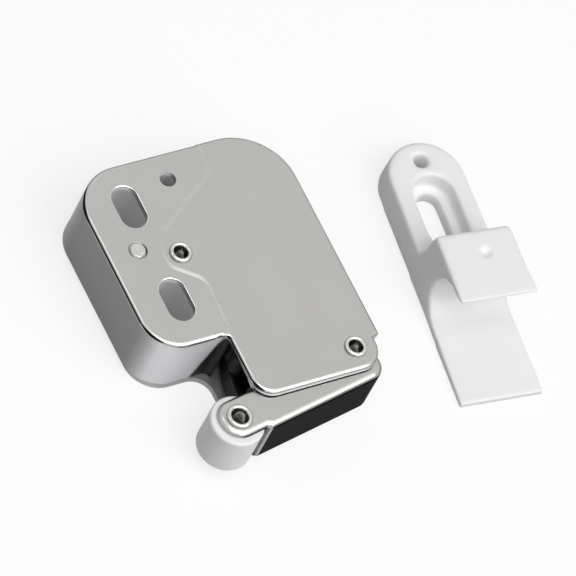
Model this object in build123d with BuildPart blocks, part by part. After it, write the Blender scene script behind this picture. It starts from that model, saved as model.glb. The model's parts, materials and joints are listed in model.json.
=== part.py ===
"""Touch latch for a cabinet door, with its keeper.

The latch lies on its back. The origin is midway between the two mounting slots, on the
back face. X runs across the case, Y along the slots, Z out of the front plate.
All lengths are in millimetres and all angles in degrees.
"""
import os
from math import asin, atan2, cos, degrees, hypot, radians, sin

from build123d import *

os.makedirs("parts", exist_ok=True)

# Sheet metal
shell_sheet = 0.9
plate_sheet = 1.0
arm_sheet = 0.8

# Case outline, seen from the front
case_left = -6.9
case_right = 26.85
case_top = 15.0
block_bottom = -15.36
upper_left_radius = 7.5
lower_left_radius = 5.5
upper_right_radius = 9.0
notch_radius = 1.0
toe_radius = 3.2
heel_radius = 3.55
notch_margin = 0.15
wall_end_y = -21.4
wall_jog = 0.45
wall_end_radius = 0.2

# Heights of the case
pad_height = 11.45
step_height = 0.15
step_width = 0.6
step_round = 2.0
step_head_x = 14.5
step_head_y = 13.2
step_shoulder_x = 13.9
step_shoulder_y = 10.35
step_above_rivet = 4.38
step_beside_rivet = 2.75
step_below_rivet = 1.82
step_bend_y = -6.3
step_margin = 0.35
bend_radius = 0.65

# Back plate
plate_inset = 0.55
plate_lip = 0.15
plate_upper_left_radius = 5.5
plate_notch_margin = 0.4
plate_notch_radius = 3.0

# Mounting slots and small holes
slot_spacing = 16.0
slot_width = 4.0
slot_length = 7.0
hole_rim = 0.2
tool_hole_x = 7.67
tool_hole_y = 10.69
tool_hole_diameter = 2.5
hole_sleeve_wall = 0.6

# Pivots
arm_pivot_x = 22.2
arm_pivot_y = -22.64
lever_pivot_x = 3.9
lever_pivot_y = -1.18
stud_x = -1.98
stud_y = 1.03

# Tubular rivets, sleeves and stud
rivet_shank = 2.5
rivet_bore = 1.9
rivet_flange = 3.4
rivet_rise = 0.5
rivet_foot_depth = 0.5
sleeve_diameter = 3.2
shim_diameter = 6.4
stud_diameter = 3.4
stud_tip_diameter = 2.85
stud_rise = 0.12

# Arm
arm_open = 9.4
arm_foot = 1.2
arm_top = 10.4
roller_gap = 0.44
roller_drop = 1.51
cheek_edge_drop = -1.7
web_drop = 5.0
web_near_end = -1.0
web_past_cam = 0.6
web_bend = 1.0
cheek_cap_radius = 3.0
pivot_lobe_radius = 3.4
cheek_rise_setback = 0.2
cheek_rise_lean = 1.7
cheek_rise_height = 7.0

# Roller and its axle
roller_diameter = 8.2
roller_length = 7.4
roller_edge = 0.45
axle_shank = 2.9
axle_bore = 2.3
axle_flange = 3.9
axle_rise = 0.5
roller_bush_diameter = 4.2

# Cam block: a sector round the arm pivot, angles measured from +X
cam_foot = 2.1
cam_face = 5.7
cam_wall_top = 9.5
cam_inner_wall = 1.6
cam_first_angle = 119.0
cam_wall_angle = 182.0
cam_near_end = 5.2
cam_wall_length = 4.5
groove_depth = 1.6
groove_wall = 0.5
groove_margin = 0.5
back_groove_width = 1.7
groove_tail_width = 1.8
island_width = 2.0
island_play = 0.2
island_head = 3.5
island_notch = 1.0
island_tail = 17.0
groove_head = 14.5
cam_pin_diameter = 2.0
cam_pin_reach = 9.0
cam_pin_drop = 1.0

# Follower lever and its pin
catch_radius = 15.7
catch_angle = 163.0
follower_ratio = 0.122
travel_in = 9.4
travel_out = 36.0
lever_foot = 6.0
lever_top = 9.4
hub_foot = 5.9
hub_top = 10.0
hub_radius = 2.4
lever_boss_radius = 1.9
lever_width = 2.6
follower_pin_diameter = 1.2

# Springs
arm_wire = 0.8
arm_coil_radius = 2.55
arm_coil_turns = 5
arm_coil_foot = 3.0
arm_leg_length = 11.0
wall_leg_length = 10.1
lever_wire = 0.5
lever_coil_radius = 2.05
lever_coil_turns = 4
lever_coil_foot = 2.2
lever_leg_length = 8.0
lever_hook_height = 2.2
lever_hook_bend = 0.5
lever_hook_hole = 0.8
winding_pitch = 1.15

# Keeper
keeper_x = 46.21
keeper_y = -31.82
keeper_turn = 6.2
keeper_tail_width = 13.5
keeper_head_width = 12.3
keeper_length = 41.6
keeper_draft = 1.6
keeper_base = 5.3
tongue_root = 1.3
tongue_tip = 0.95
hook_top = 11.7
hook_rear = 22.95
hook_lean = 7.0
lip_reach = 10.65
lip_tip = 0.45
pocket_play = 0.65
pocket_height = 6.05
pocket_place = 12.6
keeper_edge = 0.3
keeper_slot_width = 3.6
keeper_recess_width = 6.5
keeper_recess_floor = 2.5
keeper_slot_top = 32.4
keeper_slot_bottom = 26.4
pilot_place = 38.25
pilot_diameter = 2.3
dimple_place = 18.25
dimple_side = 0.6
dimple_diameter = 2.1
dimple_depth = 0.3

# Clearances, and the margin that keeps two roundings from meeting
turning_gap = 0.05
seat_gap = 0.03
side_gap = 0.05
pin_gap = 0.15
round_margin = 0.01

# Sizes that follow from the ones above
island_outer_radius = catch_radius - follower_pin_diameter / 2 - island_play
island_inner_radius = island_outer_radius - island_width
groove_inner_radius = island_inner_radius - back_groove_width
groove_outer_radius = catch_radius + follower_pin_diameter / 2 + groove_margin
cam_radius = groove_outer_radius + groove_wall
cam_inner_radius = groove_inner_radius - cam_inner_wall
cam_wall_near_end = cam_radius - cam_wall_length
roller_reach = cam_radius + roller_diameter / 2 + roller_gap
web_far_end = cam_radius + web_past_cam
cheek_rise_foot = cam_radius - cheek_rise_setback
cheek_rise_top = cheek_rise_foot - cheek_rise_lean
notch_side = arm_pivot_x - cam_radius - notch_margin
plate_notch_side = notch_side - plate_notch_margin
pocket_radius = roller_diameter / 2 + pocket_play
beyond = case_right - case_left
raised_height = pad_height + step_height
inner_height = raised_height - shell_sheet
pad_inner_height = pad_height - shell_sheet
web_inner = web_drop - arm_sheet
step_taper = degrees(atan2(step_width, step_height))
arm_axes = Plane(
    origin=(arm_pivot_x, arm_pivot_y, 0),
    x_dir=(-cos(radians(arm_open)), -sin(radians(arm_open)), 0),
    z_dir=(0, 0, 1),
)


def from_pivot(radius, angle):
    """Point at a radius and an angle round the arm pivot."""
    turn = radians(angle)
    return (arm_pivot_x + radius * cos(turn), arm_pivot_y + radius * sin(turn))


def in_arm(along, down):
    """Point given along the arm and square to it, towards the web."""
    place = arm_axes.from_local_coords((along, down, 0))
    return (place.X, place.Y)


# Outlines of the case, as corner points with a radius each


def case_outline(inset, bottom_inset, side_x, vertex_radius, corner_radius):
    """Outline of the case. The insets apply to the walled sides alone."""
    heel_x = arm_pivot_x + heel_radius
    heel_y = arm_pivot_y - heel_radius
    points = [
        (case_left + inset, case_top - inset),
        (case_left + inset, block_bottom + bottom_inset),
        (side_x, block_bottom + bottom_inset),
        (side_x, heel_y),
        (heel_x, heel_y),
        (heel_x, wall_end_y - wall_jog),
        (case_right - inset, wall_end_y),
        (case_right - inset, case_top - inset),
    ]
    radii = [
        corner_radius,
        lower_left_radius - inset,
        vertex_radius,
        toe_radius,
        heel_radius - round_margin,
        wall_end_radius,
        wall_end_radius,
        upper_right_radius - inset,
    ]
    return points, radii


def outline_block(inset, bottom, top, edge):
    """Solid block of the case outline with its upper edge rounded."""
    points, radii = case_outline(
        inset, inset, notch_side + inset, notch_radius, upper_left_radius - inset
    )
    with BuildPart() as block:
        with BuildSketch(Plane.XY.offset(bottom)):
            with BuildLine():
                FilletPolyline(*points, radius=radii, close=True)
            make_face()
        extrude(amount=top - bottom)
        if edge > 0:
            fillet(block.faces().sort_by(Axis.Z)[-1].edges(), edge)
    return block.part


# The raised field of the front plate: right of a line that rounds the lever rivet
step_points = [
    (step_head_x, case_top + beyond),
    (step_head_x, step_head_y),
    (step_shoulder_x, step_shoulder_y),
    (lever_pivot_x - 0.42 * step_beside_rivet, lever_pivot_y + step_above_rivet),
    (lever_pivot_x - step_beside_rivet, lever_pivot_y + 0.36 * step_above_rivet),
    (lever_pivot_x - 0.93 * step_beside_rivet, lever_pivot_y - step_below_rivet),
    (notch_side + 2 * step_margin, step_bend_y),
    (notch_side + step_margin, block_bottom + 0.5),
    (notch_side - 6, block_bottom - 0.9),
    (notch_side - 6, block_bottom - beyond),
    (case_right + beyond, block_bottom - beyond),
    (case_right + beyond, case_top + beyond),
]
step_radii = [0, 4.0, 0.9, 1.9, 2.2, 2.4, 2.6, 0.8, 0, 0, 0, 0]


def raised_field(top, edge=0):
    """Prism over the raised field whose flank slopes as the pressed step does."""
    below = top - step_height - 1.0
    with BuildPart() as prism:
        with BuildSketch(Plane.XY.offset(top - step_height)):
            with BuildLine():
                FilletPolyline(*step_points, radius=step_radii, close=True)
            make_face()
        extrude(amount=step_height, taper=step_taper)
        if edge > 0:
            fillet(prism.faces().sort_by(Axis.Z)[-1].edges(), edge)
        with BuildSketch(Plane.XY.offset(below)):
            with BuildLine():
                FilletPolyline(*step_points, radius=step_radii, close=True)
            make_face()
        extrude(amount=top - step_height - below)
    return prism.part


outer_pad = outline_block(0, plate_sheet, pad_height, bend_radius)
outer_block = outline_block(0, plate_sheet, raised_height, bend_radius)
outer_field = outer_block & raised_field(raised_height, step_round)
inner_pad = outline_block(shell_sheet, 0, pad_inner_height, 0)
inner_field = outline_block(shell_sheet, 0, inner_height, 0) & raised_field(inner_height)

# Front shell
with BuildPart() as front_shell:
    add(outer_pad)
    add(outer_field)
    add(inner_pad, mode=Mode.SUBTRACT)
    add(inner_field, mode=Mode.SUBTRACT)
    with BuildSketch():
        with Locations((notch_side, wall_end_y)):
            Rectangle(beyond, beyond, align=(Align.MIN, Align.MAX))
        with Locations((notch_side, block_bottom + shell_sheet)):
            Rectangle(cam_radius / 2, beyond, align=(Align.MIN, Align.MAX))
    extrude(amount=inner_height, mode=Mode.SUBTRACT)
    with BuildSketch():
        with Locations((0, slot_spacing / 2), (0, -slot_spacing / 2)):
            SlotOverall(slot_length, slot_width, rotation=90)
        with Locations((tool_hole_x, tool_hole_y)):
            Circle(tool_hole_diameter / 2)
        with Locations((stud_x, stud_y)):
            Circle(stud_tip_diameter / 2 + seat_gap)
        with Locations((lever_pivot_x, lever_pivot_y), (arm_pivot_x, arm_pivot_y)):
            Circle(rivet_shank / 2 + seat_gap)
    extrude(amount=raised_height + 1, mode=Mode.SUBTRACT)
    slot_end_y = (slot_spacing + slot_length) / 2 + round_margin
    slot_rims = [
        edge
        for edge in front_shell.edges().filter_by_position(Axis.Z, pad_height, pad_height)
        if abs(edge.center().X) <= slot_width / 2 and slot_width < abs(edge.center().Y) < slot_end_y
    ]
    fillet(slot_rims, hole_rim)
front_shell.part.label = "front_shell"

# Back plate: a flat blank with a drawn notch, slots and rivet holes
plate_points, plate_radii = case_outline(
    plate_inset, -plate_lip, plate_notch_side, plate_notch_radius, plate_upper_left_radius
)
with BuildPart() as back_plate:
    with BuildSketch():
        with BuildLine():
            FilletPolyline(*plate_points, radius=plate_radii, close=True)
        make_face()
        with Locations((0, slot_spacing / 2), (0, -slot_spacing / 2)):
            SlotOverall(slot_length, slot_width, rotation=90, mode=Mode.SUBTRACT)
        pivots = [(lever_pivot_x, lever_pivot_y), (arm_pivot_x, arm_pivot_y), (stud_x, stud_y)]
        with Locations(*pivots):
            Circle(rivet_shank / 2 + seat_gap, mode=Mode.SUBTRACT)
    extrude(amount=plate_sheet)
    with BuildSketch():
        with Locations(*pivots):
            Circle(rivet_flange / 2 + pin_gap)
    extrude(amount=rivet_foot_depth, mode=Mode.SUBTRACT)
back_plate.part.label = "back_plate"


def tube_rivet(foot, head_seat, top, flange, shank, bore):
    """Tubular rivet: a tube with a flat foot flange and a rolled head flange."""
    flange_radius = flange / 2
    shank_radius = shank / 2
    bore_radius = bore / 2
    roll = (top - head_seat) * 0.5
    with BuildPart() as rivet:
        with BuildSketch(Plane.XZ):
            with BuildLine():
                Polyline(
                    (bore_radius, foot),
                    (flange_radius, foot),
                    (flange_radius, foot + rivet_foot_depth),
                    (shank_radius, foot + rivet_foot_depth),
                    (shank_radius, head_seat),
                    (flange_radius, head_seat),
                    (flange_radius, top - roll),
                )
                RadiusArc((flange_radius, top - roll), (flange_radius - roll, top), -roll)
                Line((flange_radius - roll, top), (bore_radius + roll, top))
                RadiusArc((bore_radius + roll, top), (bore_radius, top - roll), -roll)
                Line((bore_radius, top - roll), (bore_radius, foot))
            make_face()
        revolve(axis=Axis.Z)
    return rivet.part


def sleeve(x, y):
    """Spacer sleeve between the two plates."""
    with BuildPart() as tube:
        with BuildSketch(Plane.XY.offset(plate_sheet)):
            with Locations((x, y)):
                Circle(sleeve_diameter / 2)
                Circle(rivet_shank / 2 + seat_gap, mode=Mode.SUBTRACT)
        extrude(amount=inner_height - plate_sheet)
    return tube.part


rivet_top = raised_height + rivet_rise
pivot_rivet = tube_rivet(0, raised_height, rivet_top, rivet_flange, rivet_shank, rivet_bore)

# Rivet and sleeve that the arm turns on
with BuildPart() as arm_rivet:
    add(Pos(arm_pivot_x, arm_pivot_y, 0) * pivot_rivet)
arm_rivet.part.label = "arm_rivet"

with BuildPart() as arm_sleeve:
    add(sleeve(arm_pivot_x, arm_pivot_y))
arm_sleeve.part.label = "arm_sleeve"

# Rivet and sleeve that the follower lever turns on
with BuildPart() as lever_rivet:
    add(Pos(lever_pivot_x, lever_pivot_y, 0) * pivot_rivet)
lever_rivet.part.label = "lever_rivet"

with BuildPart() as lever_sleeve:
    add(sleeve(lever_pivot_x, lever_pivot_y))
lever_sleeve.part.label = "lever_sleeve"

# Sleeves that line the slots and the small hole between the two plates
def hole_sleeve(x, y, length, width):
    """Sleeve round a hole that is a slot along Y, or round where the length is the width."""
    with BuildPart() as sleeve:
        with BuildSketch(Plane.XY.offset(plate_sheet)):
            with Locations((x, y)):
                if length > width:
                    SlotOverall(length + 2 * hole_sleeve_wall, width + 2 * hole_sleeve_wall, rotation=90)
                    SlotOverall(length, width, rotation=90, mode=Mode.SUBTRACT)
                else:
                    Circle(width / 2 + hole_sleeve_wall)
                    Circle(width / 2, mode=Mode.SUBTRACT)
        extrude(amount=pad_inner_height - plate_sheet)
    return sleeve.part


with BuildPart() as upper_slot_sleeve:
    add(hole_sleeve(0, slot_spacing / 2, slot_length, slot_width))
upper_slot_sleeve.part.label = "upper_slot_sleeve"

with BuildPart() as lower_slot_sleeve:
    add(hole_sleeve(0, -slot_spacing / 2, slot_length, slot_width))
lower_slot_sleeve.part.label = "lower_slot_sleeve"

with BuildPart() as small_hole_sleeve:
    add(hole_sleeve(tool_hole_x, tool_hole_y, tool_hole_diameter, tool_hole_diameter))
small_hole_sleeve.part.label = "small_hole_sleeve"

# Stud between the plates, its tip seen in the front plate
stud_levels = [
    (0, rivet_foot_depth, rivet_flange),
    (rivet_foot_depth, plate_sheet, rivet_shank),
    (plate_sheet, pad_inner_height, stud_diameter),
    (pad_inner_height, pad_height + stud_rise, stud_tip_diameter),
]
with BuildPart() as spacer_stud:
    for level_foot, level_top, level_diameter in stud_levels:
        with BuildSketch(Plane.XY.offset(level_foot)):
            with Locations((stud_x, stud_y)):
                Circle(level_diameter / 2)
        extrude(amount=level_top - level_foot)
    fillet(spacer_stud.faces().sort_by(Axis.Z)[-1].edges(), stud_rise)
spacer_stud.part.label = "spacer_stud"

# Arm: a folded channel, cheeks joined by a web along the lower side
cheek_points = [
    (roller_reach + cheek_cap_radius, cheek_edge_drop),
    (roller_reach + cheek_cap_radius, roller_drop + cheek_cap_radius),
    (web_far_end + 0.8, roller_drop + cheek_cap_radius),
    (web_far_end, web_drop),
    (web_near_end - 1.9, web_drop),
    (-pivot_lobe_radius, 0),
    (-pivot_lobe_radius, -pivot_lobe_radius),
    (3.2, -pivot_lobe_radius - 0.4),
    (cheek_rise_top, -cheek_rise_height),
    (cheek_rise_foot, cheek_edge_drop),
]
cheek_radii = [
    cheek_cap_radius - round_margin,
    cheek_cap_radius - round_margin,
    0.3,
    0.3,
    2.4,
    1.0,
    pivot_lobe_radius - 0.2,
    3.0,
    1.2,
    0.8,
]


def channel_block(bottom, top, bend):
    """Solid of the cheek outline with both long edges of the web rounded."""
    with BuildPart() as block:
        with BuildSketch(arm_axes.offset(bottom)):
            with BuildLine():
                FilletPolyline(*cheek_points, radius=cheek_radii, close=True)
            make_face()
        extrude(amount=top - bottom)
        web_direction = arm_axes.x_dir
        web_edges = (
            block.edges()
            .filter_by(Axis((0, 0, 0), web_direction))
            .filter_by(lambda edge: abs(arm_axes.to_local_coords(edge.center()).Y - web_drop) < 0.01)
        )
        fillet(web_edges, bend)
    return block.part


with BuildPart() as arm:
    add(channel_block(arm_foot, arm_top, web_bend))
    with BuildSketch(arm_axes.offset(arm_foot + arm_sheet)):
        with Locations((-beyond, web_inner)):
            Rectangle(3 * beyond, beyond, align=(Align.MIN, Align.MAX))
    extrude(amount=arm_top - arm_foot - 2 * arm_sheet, mode=Mode.SUBTRACT)
    with BuildSketch(arm_axes.offset(arm_foot + arm_sheet)):
        with Locations((web_far_end + arm_sheet / 2, 0)):
            Rectangle(beyond, beyond, align=(Align.MIN, Align.CENTER))
    extrude(amount=arm_top - arm_foot - 2 * arm_sheet, mode=Mode.SUBTRACT)
    with BuildSketch(arm_axes):
        Circle(sleeve_diameter / 2 + turning_gap)
        with Locations((roller_reach, roller_drop)):
            Circle(axle_shank / 2 + seat_gap)
        with Locations((cam_pin_reach, cam_pin_drop)):
            Circle(cam_pin_diameter / 2 + seat_gap)
    extrude(amount=arm_top + 1, mode=Mode.SUBTRACT)
arm.part.label = "arm"

# Shims that fill the play between the cheeks and the two plates
def shim(foot, top):
    """Thin washer round the arm sleeve."""
    with BuildPart() as washer:
        with BuildSketch(Plane.XY.offset(foot + seat_gap)):
            with Locations((arm_pivot_x, arm_pivot_y)):
                Circle(shim_diameter / 2)
                Circle(sleeve_diameter / 2 + seat_gap, mode=Mode.SUBTRACT)
        extrude(amount=top - foot - 2 * seat_gap)
    return washer.part


with BuildPart() as back_shim:
    add(shim(plate_sheet, arm_foot))
back_shim.part.label = "back_shim"

with BuildPart() as front_shim:
    add(shim(arm_top, inner_height))
front_shim.part.label = "front_shim"

# Bush between the cheeks, on the roller axle
roller_x, roller_y = in_arm(roller_reach, roller_drop)
with BuildPart() as roller_bush:
    with BuildSketch(Plane.XY.offset(arm_foot + arm_sheet + seat_gap)):
        with Locations((roller_x, roller_y)):
            Circle(roller_bush_diameter / 2)
            Circle(axle_shank / 2 + seat_gap, mode=Mode.SUBTRACT)
    extrude(amount=arm_top - arm_foot - 2 * (arm_sheet + seat_gap))
roller_bush.part.label = "roller_bush"

# Roller: a white plastic drum with softly rounded ends
roller_foot = (arm_foot + arm_top - roller_length) / 2
with BuildPart() as roller:
    with BuildSketch(Plane.XY.offset(roller_foot)):
        with Locations((roller_x, roller_y)):
            Circle(roller_diameter / 2)
    extrude(amount=roller_length)
    fillet(roller.edges(), roller_edge)
    with BuildSketch(Plane.XY.offset(roller_foot)):
        with Locations((roller_x, roller_y)):
            Circle(roller_bush_diameter / 2 + turning_gap)
    extrude(amount=roller_length, mode=Mode.SUBTRACT)
roller.part.label = "roller"

# Roller axle: a tubular rivet through both cheeks
with BuildPart() as roller_axle:
    add(
        Pos(roller_x, roller_y, 0)
        * tube_rivet(
            arm_foot - rivet_foot_depth, arm_top, arm_top + axle_rise, axle_flange, axle_shank, axle_bore
        )
    )
roller_axle.part.label = "roller_axle"

# Path of the follower pin, seen from the cam block
pin_x, pin_y = from_pivot(catch_radius, catch_angle)
lever_reach = hypot(pin_x - lever_pivot_x, pin_y - lever_pivot_y)
lever_angle = degrees(atan2(pin_y - lever_pivot_y, pin_x - lever_pivot_x))


def pin_in_block(arm_turn):
    """Place of the follower pin over the resting cam block, once the arm has turned."""
    swing = radians(lever_angle + follower_ratio * arm_turn)
    x = lever_pivot_x + lever_reach * cos(swing) - arm_pivot_x
    y = lever_pivot_y + lever_reach * sin(swing) - arm_pivot_y
    back = radians(-arm_turn)
    return (
        arm_pivot_x + x * cos(back) - y * sin(back),
        arm_pivot_y + x * sin(back) + y * cos(back),
    )


path_in = pin_in_block(-travel_in)
path_middle = pin_in_block(travel_out / 2)
path_out = pin_in_block(travel_out)

# Cam block: low sector with the heart-shaped groove and a full-height wall by the roller
sector_last_angle = 180 + arm_open + degrees(asin((web_inner - side_gap) / cam_radius))
head_angle = catch_angle + groove_head
tail_angle = catch_angle - island_tail
with BuildPart() as cam_block:
    with BuildSketch(Plane.XY.offset(cam_foot)):
        with BuildLine():
            middle = (cam_first_angle + sector_last_angle) / 2
            ThreePointArc(
                from_pivot(cam_radius, cam_first_angle),
                from_pivot(cam_radius, middle),
                from_pivot(cam_radius, sector_last_angle),
            )
            Polyline(
                from_pivot(cam_radius, sector_last_angle),
                in_arm(cam_near_end, web_inner - side_gap),
                in_arm(cam_near_end, -0.8),
                from_pivot(cam_inner_radius, 160),
            )
            ThreePointArc(
                from_pivot(cam_inner_radius, 160),
                from_pivot(cam_inner_radius, (160 + cam_first_angle) / 2),
                from_pivot(cam_inner_radius, cam_first_angle),
            )
            Line(from_pivot(cam_inner_radius, cam_first_angle), from_pivot(cam_radius, cam_first_angle))
        make_face()
    extrude(amount=cam_face - cam_foot)
    with BuildSketch(Plane.XY.offset(cam_face)):
        with BuildLine():
            ThreePointArc(
                from_pivot(cam_radius, cam_wall_angle),
                from_pivot(cam_radius, (cam_wall_angle + sector_last_angle) / 2),
                from_pivot(cam_radius, sector_last_angle),
            )
            Polyline(
                from_pivot(cam_radius, sector_last_angle),
                in_arm(cam_wall_near_end, web_inner - side_gap),
                from_pivot(cam_wall_near_end, cam_wall_angle),
                from_pivot(cam_radius, cam_wall_angle),
            )
        make_face()
    extrude(amount=cam_wall_top - cam_face)
    with BuildSketch(Plane.XY.offset(cam_face)):
        with BuildLine():
            ThreePointArc(
                from_pivot(groove_outer_radius, tail_angle),
                from_pivot(groove_outer_radius, (head_angle + tail_angle) / 2),
                from_pivot(groove_outer_radius, head_angle),
            )
            Line(from_pivot(groove_outer_radius, head_angle), from_pivot(groove_inner_radius, head_angle))
            ThreePointArc(
                from_pivot(groove_inner_radius, head_angle),
                from_pivot(groove_inner_radius, (head_angle + tail_angle) / 2),
                from_pivot(groove_inner_radius, tail_angle + 4),
            )
            Polyline(
                from_pivot(groove_inner_radius, tail_angle + 4),
                from_pivot(catch_radius - 1.2, tail_angle - 10),
                from_pivot(groove_outer_radius, tail_angle),
            )
        make_face()
        with BuildLine(mode=Mode.PRIVATE) as pin_path:
            ThreePointArc(path_in, path_middle, path_out)
        trace(pin_path.edges(), groove_tail_width)
        with Locations(path_in, path_out):
            Circle(groove_tail_width / 2)
        with BuildLine():
            ThreePointArc(
                from_pivot(island_outer_radius, catch_angle + island_head),
                from_pivot(island_outer_radius, catch_angle - 3),
                from_pivot(island_outer_radius - 0.15, catch_angle - 9),
            )
            Line(
                from_pivot(island_outer_radius - 0.15, catch_angle - 9),
                from_pivot((island_inner_radius + island_outer_radius) / 2, tail_angle),
            )
            Line(
                from_pivot((island_inner_radius + island_outer_radius) / 2, tail_angle),
                from_pivot(island_inner_radius, catch_angle - 9),
            )
            ThreePointArc(
                from_pivot(island_inner_radius, catch_angle - 9),
                from_pivot(island_inner_radius, catch_angle - 3),
                from_pivot(island_inner_radius, catch_angle + island_head),
            )
            ThreePointArc(
                from_pivot(island_inner_radius, catch_angle + island_head),
                from_pivot((island_inner_radius + island_outer_radius) / 2, catch_angle + island_notch - 1.2),
                from_pivot(island_outer_radius, catch_angle + island_head),
            )
        make_face(mode=Mode.SUBTRACT)
    extrude(amount=-groove_depth, mode=Mode.SUBTRACT)
    with BuildSketch(arm_axes):
        with Locations((cam_pin_reach, cam_pin_drop)):
            Circle(cam_pin_diameter / 2 + seat_gap)
    extrude(amount=arm_top, mode=Mode.SUBTRACT)
cam_block.part.label = "cam_block"

# Cross pin through both cheeks and the cam block
pin_centre_x, pin_centre_y = in_arm(cam_pin_reach, cam_pin_drop)
with BuildPart() as cam_pin:
    with BuildSketch(Plane.XY.offset(arm_foot)):
        with Locations((pin_centre_x, pin_centre_y)):
            Circle(cam_pin_diameter / 2)
    extrude(amount=arm_top - arm_foot)
cam_pin.part.label = "cam_pin"

# Follower lever: hangs from the lever pivot to the groove
hook_hole_reach = hypot(lever_leg_length, lever_coil_radius) / lever_reach
hook_hole_x = lever_pivot_x + (pin_x - lever_pivot_x) * hook_hole_reach
hook_hole_y = lever_pivot_y + (pin_y - lever_pivot_y) * hook_hole_reach
with BuildPart() as follower_lever:
    with BuildSketch(Plane.XY.offset(lever_foot)):
        with Locations((lever_pivot_x, lever_pivot_y)):
            Circle(hub_radius)
        with Locations((pin_x, pin_y)):
            Circle(lever_boss_radius)
        with BuildLine(mode=Mode.PRIVATE) as lever_line:
            Line((lever_pivot_x, lever_pivot_y), (pin_x, pin_y))
        trace(lever_line.edges(), lever_width)
    extrude(amount=lever_top - lever_foot)
    with BuildSketch(Plane.XY.offset(hub_foot)):
        with Locations((lever_pivot_x, lever_pivot_y)):
            Circle(hub_radius)
    extrude(amount=hub_top - hub_foot)
    with BuildSketch():
        with Locations((lever_pivot_x, lever_pivot_y)):
            Circle(sleeve_diameter / 2 + turning_gap)
        with Locations((pin_x, pin_y)):
            Circle(follower_pin_diameter / 2 + seat_gap)
        with Locations((hook_hole_x, hook_hole_y)):
            Circle(lever_hook_hole / 2)
    extrude(amount=raised_height, mode=Mode.SUBTRACT)
follower_lever.part.label = "follower_lever"

# Follower pin: pressed in the lever, its tip runs in the groove
with BuildPart() as follower_pin:
    with BuildSketch(Plane.XY.offset(cam_face - groove_depth + pin_gap)):
        with Locations((pin_x, pin_y)):
            Circle(follower_pin_diameter / 2)
    extrude(amount=lever_top - cam_face + groove_depth - pin_gap)
    chamfer(follower_pin.faces().sort_by(Axis.Z)[0].edges(), 0.15)
follower_pin.part.label = "follower_pin"


def wound_spring(foot, mean_radius, wire, turns, clockwise, legs, hook=0):
    """Torsion spring round Z: a helix from angle 0 with a straight tangent leg at each end.

    The legs are the two lengths. A hook bends the end of the last leg upwards.
    """
    first_leg, last_leg = legs
    pitch = wire * winding_pitch
    with BuildPart() as spring:
        with BuildLine() as winding:
            helix = Helix(pitch, pitch * turns, mean_radius, lefthand=clockwise)
            leg_start = helix @ 0 - (helix % 0) * first_leg
            leg_end = helix @ 1 + (helix % 1) * last_leg
            Line(leg_start, helix @ 0)
            if hook > 0:
                FilletPolyline(
                    helix @ 1, leg_end, leg_end + Vector(0, 0, hook), radius=lever_hook_bend
                )
            else:
                Line(helix @ 1, leg_end)
        with BuildSketch(Plane(origin=leg_start, z_dir=helix % 0)):
            Circle(wire / 2)
        sweep(path=winding.wire())
    return Pos(0, 0, foot) * spring.part


# Arm spring: one leg against the right wall, the other on the web
wall_leg_offset = case_right - shell_sheet - seat_gap - arm_wire / 2 - arm_pivot_x
wall_leg_lean = degrees(asin((wall_leg_offset - arm_coil_radius) / wall_leg_length))
arm_leg_offset = web_inner - seat_gap - arm_wire / 2
arm_leg_lean = degrees(asin((arm_leg_offset - arm_coil_radius) / arm_leg_length))
arm_coil_first = -wall_leg_lean
arm_coil_last = arm_open - 90 + arm_leg_lean
arm_turns = arm_coil_turns + (arm_coil_first - arm_coil_last) / 360
with BuildPart() as arm_spring:
    add(
        Pos(arm_pivot_x, arm_pivot_y, 0)
        * Rot(0, 0, arm_coil_first)
        * wound_spring(
            arm_coil_foot, arm_coil_radius, arm_wire, arm_turns, True, (wall_leg_length, arm_leg_length)
        )
    )
arm_spring.part.label = "arm_spring"

# Lever spring: one leg under the spacer stud, the other hooked up into the follower lever
stud_distance = hypot(stud_x - lever_pivot_x, stud_y - lever_pivot_y)
stud_angle = degrees(atan2(stud_y - lever_pivot_y, stud_x - lever_pivot_x))
stud_touch = stud_diameter / 2 + lever_wire / 2 + seat_gap
lever_coil_first = stud_angle + 90 + degrees(asin((lever_coil_radius - stud_touch) / stud_distance))
lever_leg_lean = degrees(asin(lever_coil_radius / lever_leg_length))
lever_coil_last = lever_angle - 90 + lever_leg_lean
lever_turns = lever_coil_turns + ((lever_coil_last - lever_coil_first) % 360) / 360
with BuildPart() as lever_spring:
    add(
        Pos(lever_pivot_x, lever_pivot_y, 0)
        * Rot(0, 0, lever_coil_first)
        * wound_spring(
            lever_coil_foot,
            lever_coil_radius,
            lever_wire,
            lever_turns,
            False,
            (lever_leg_length, lever_leg_length),
            hook=lever_hook_height,
        )
    )
lever_spring.part.label = "lever_spring"

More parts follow.
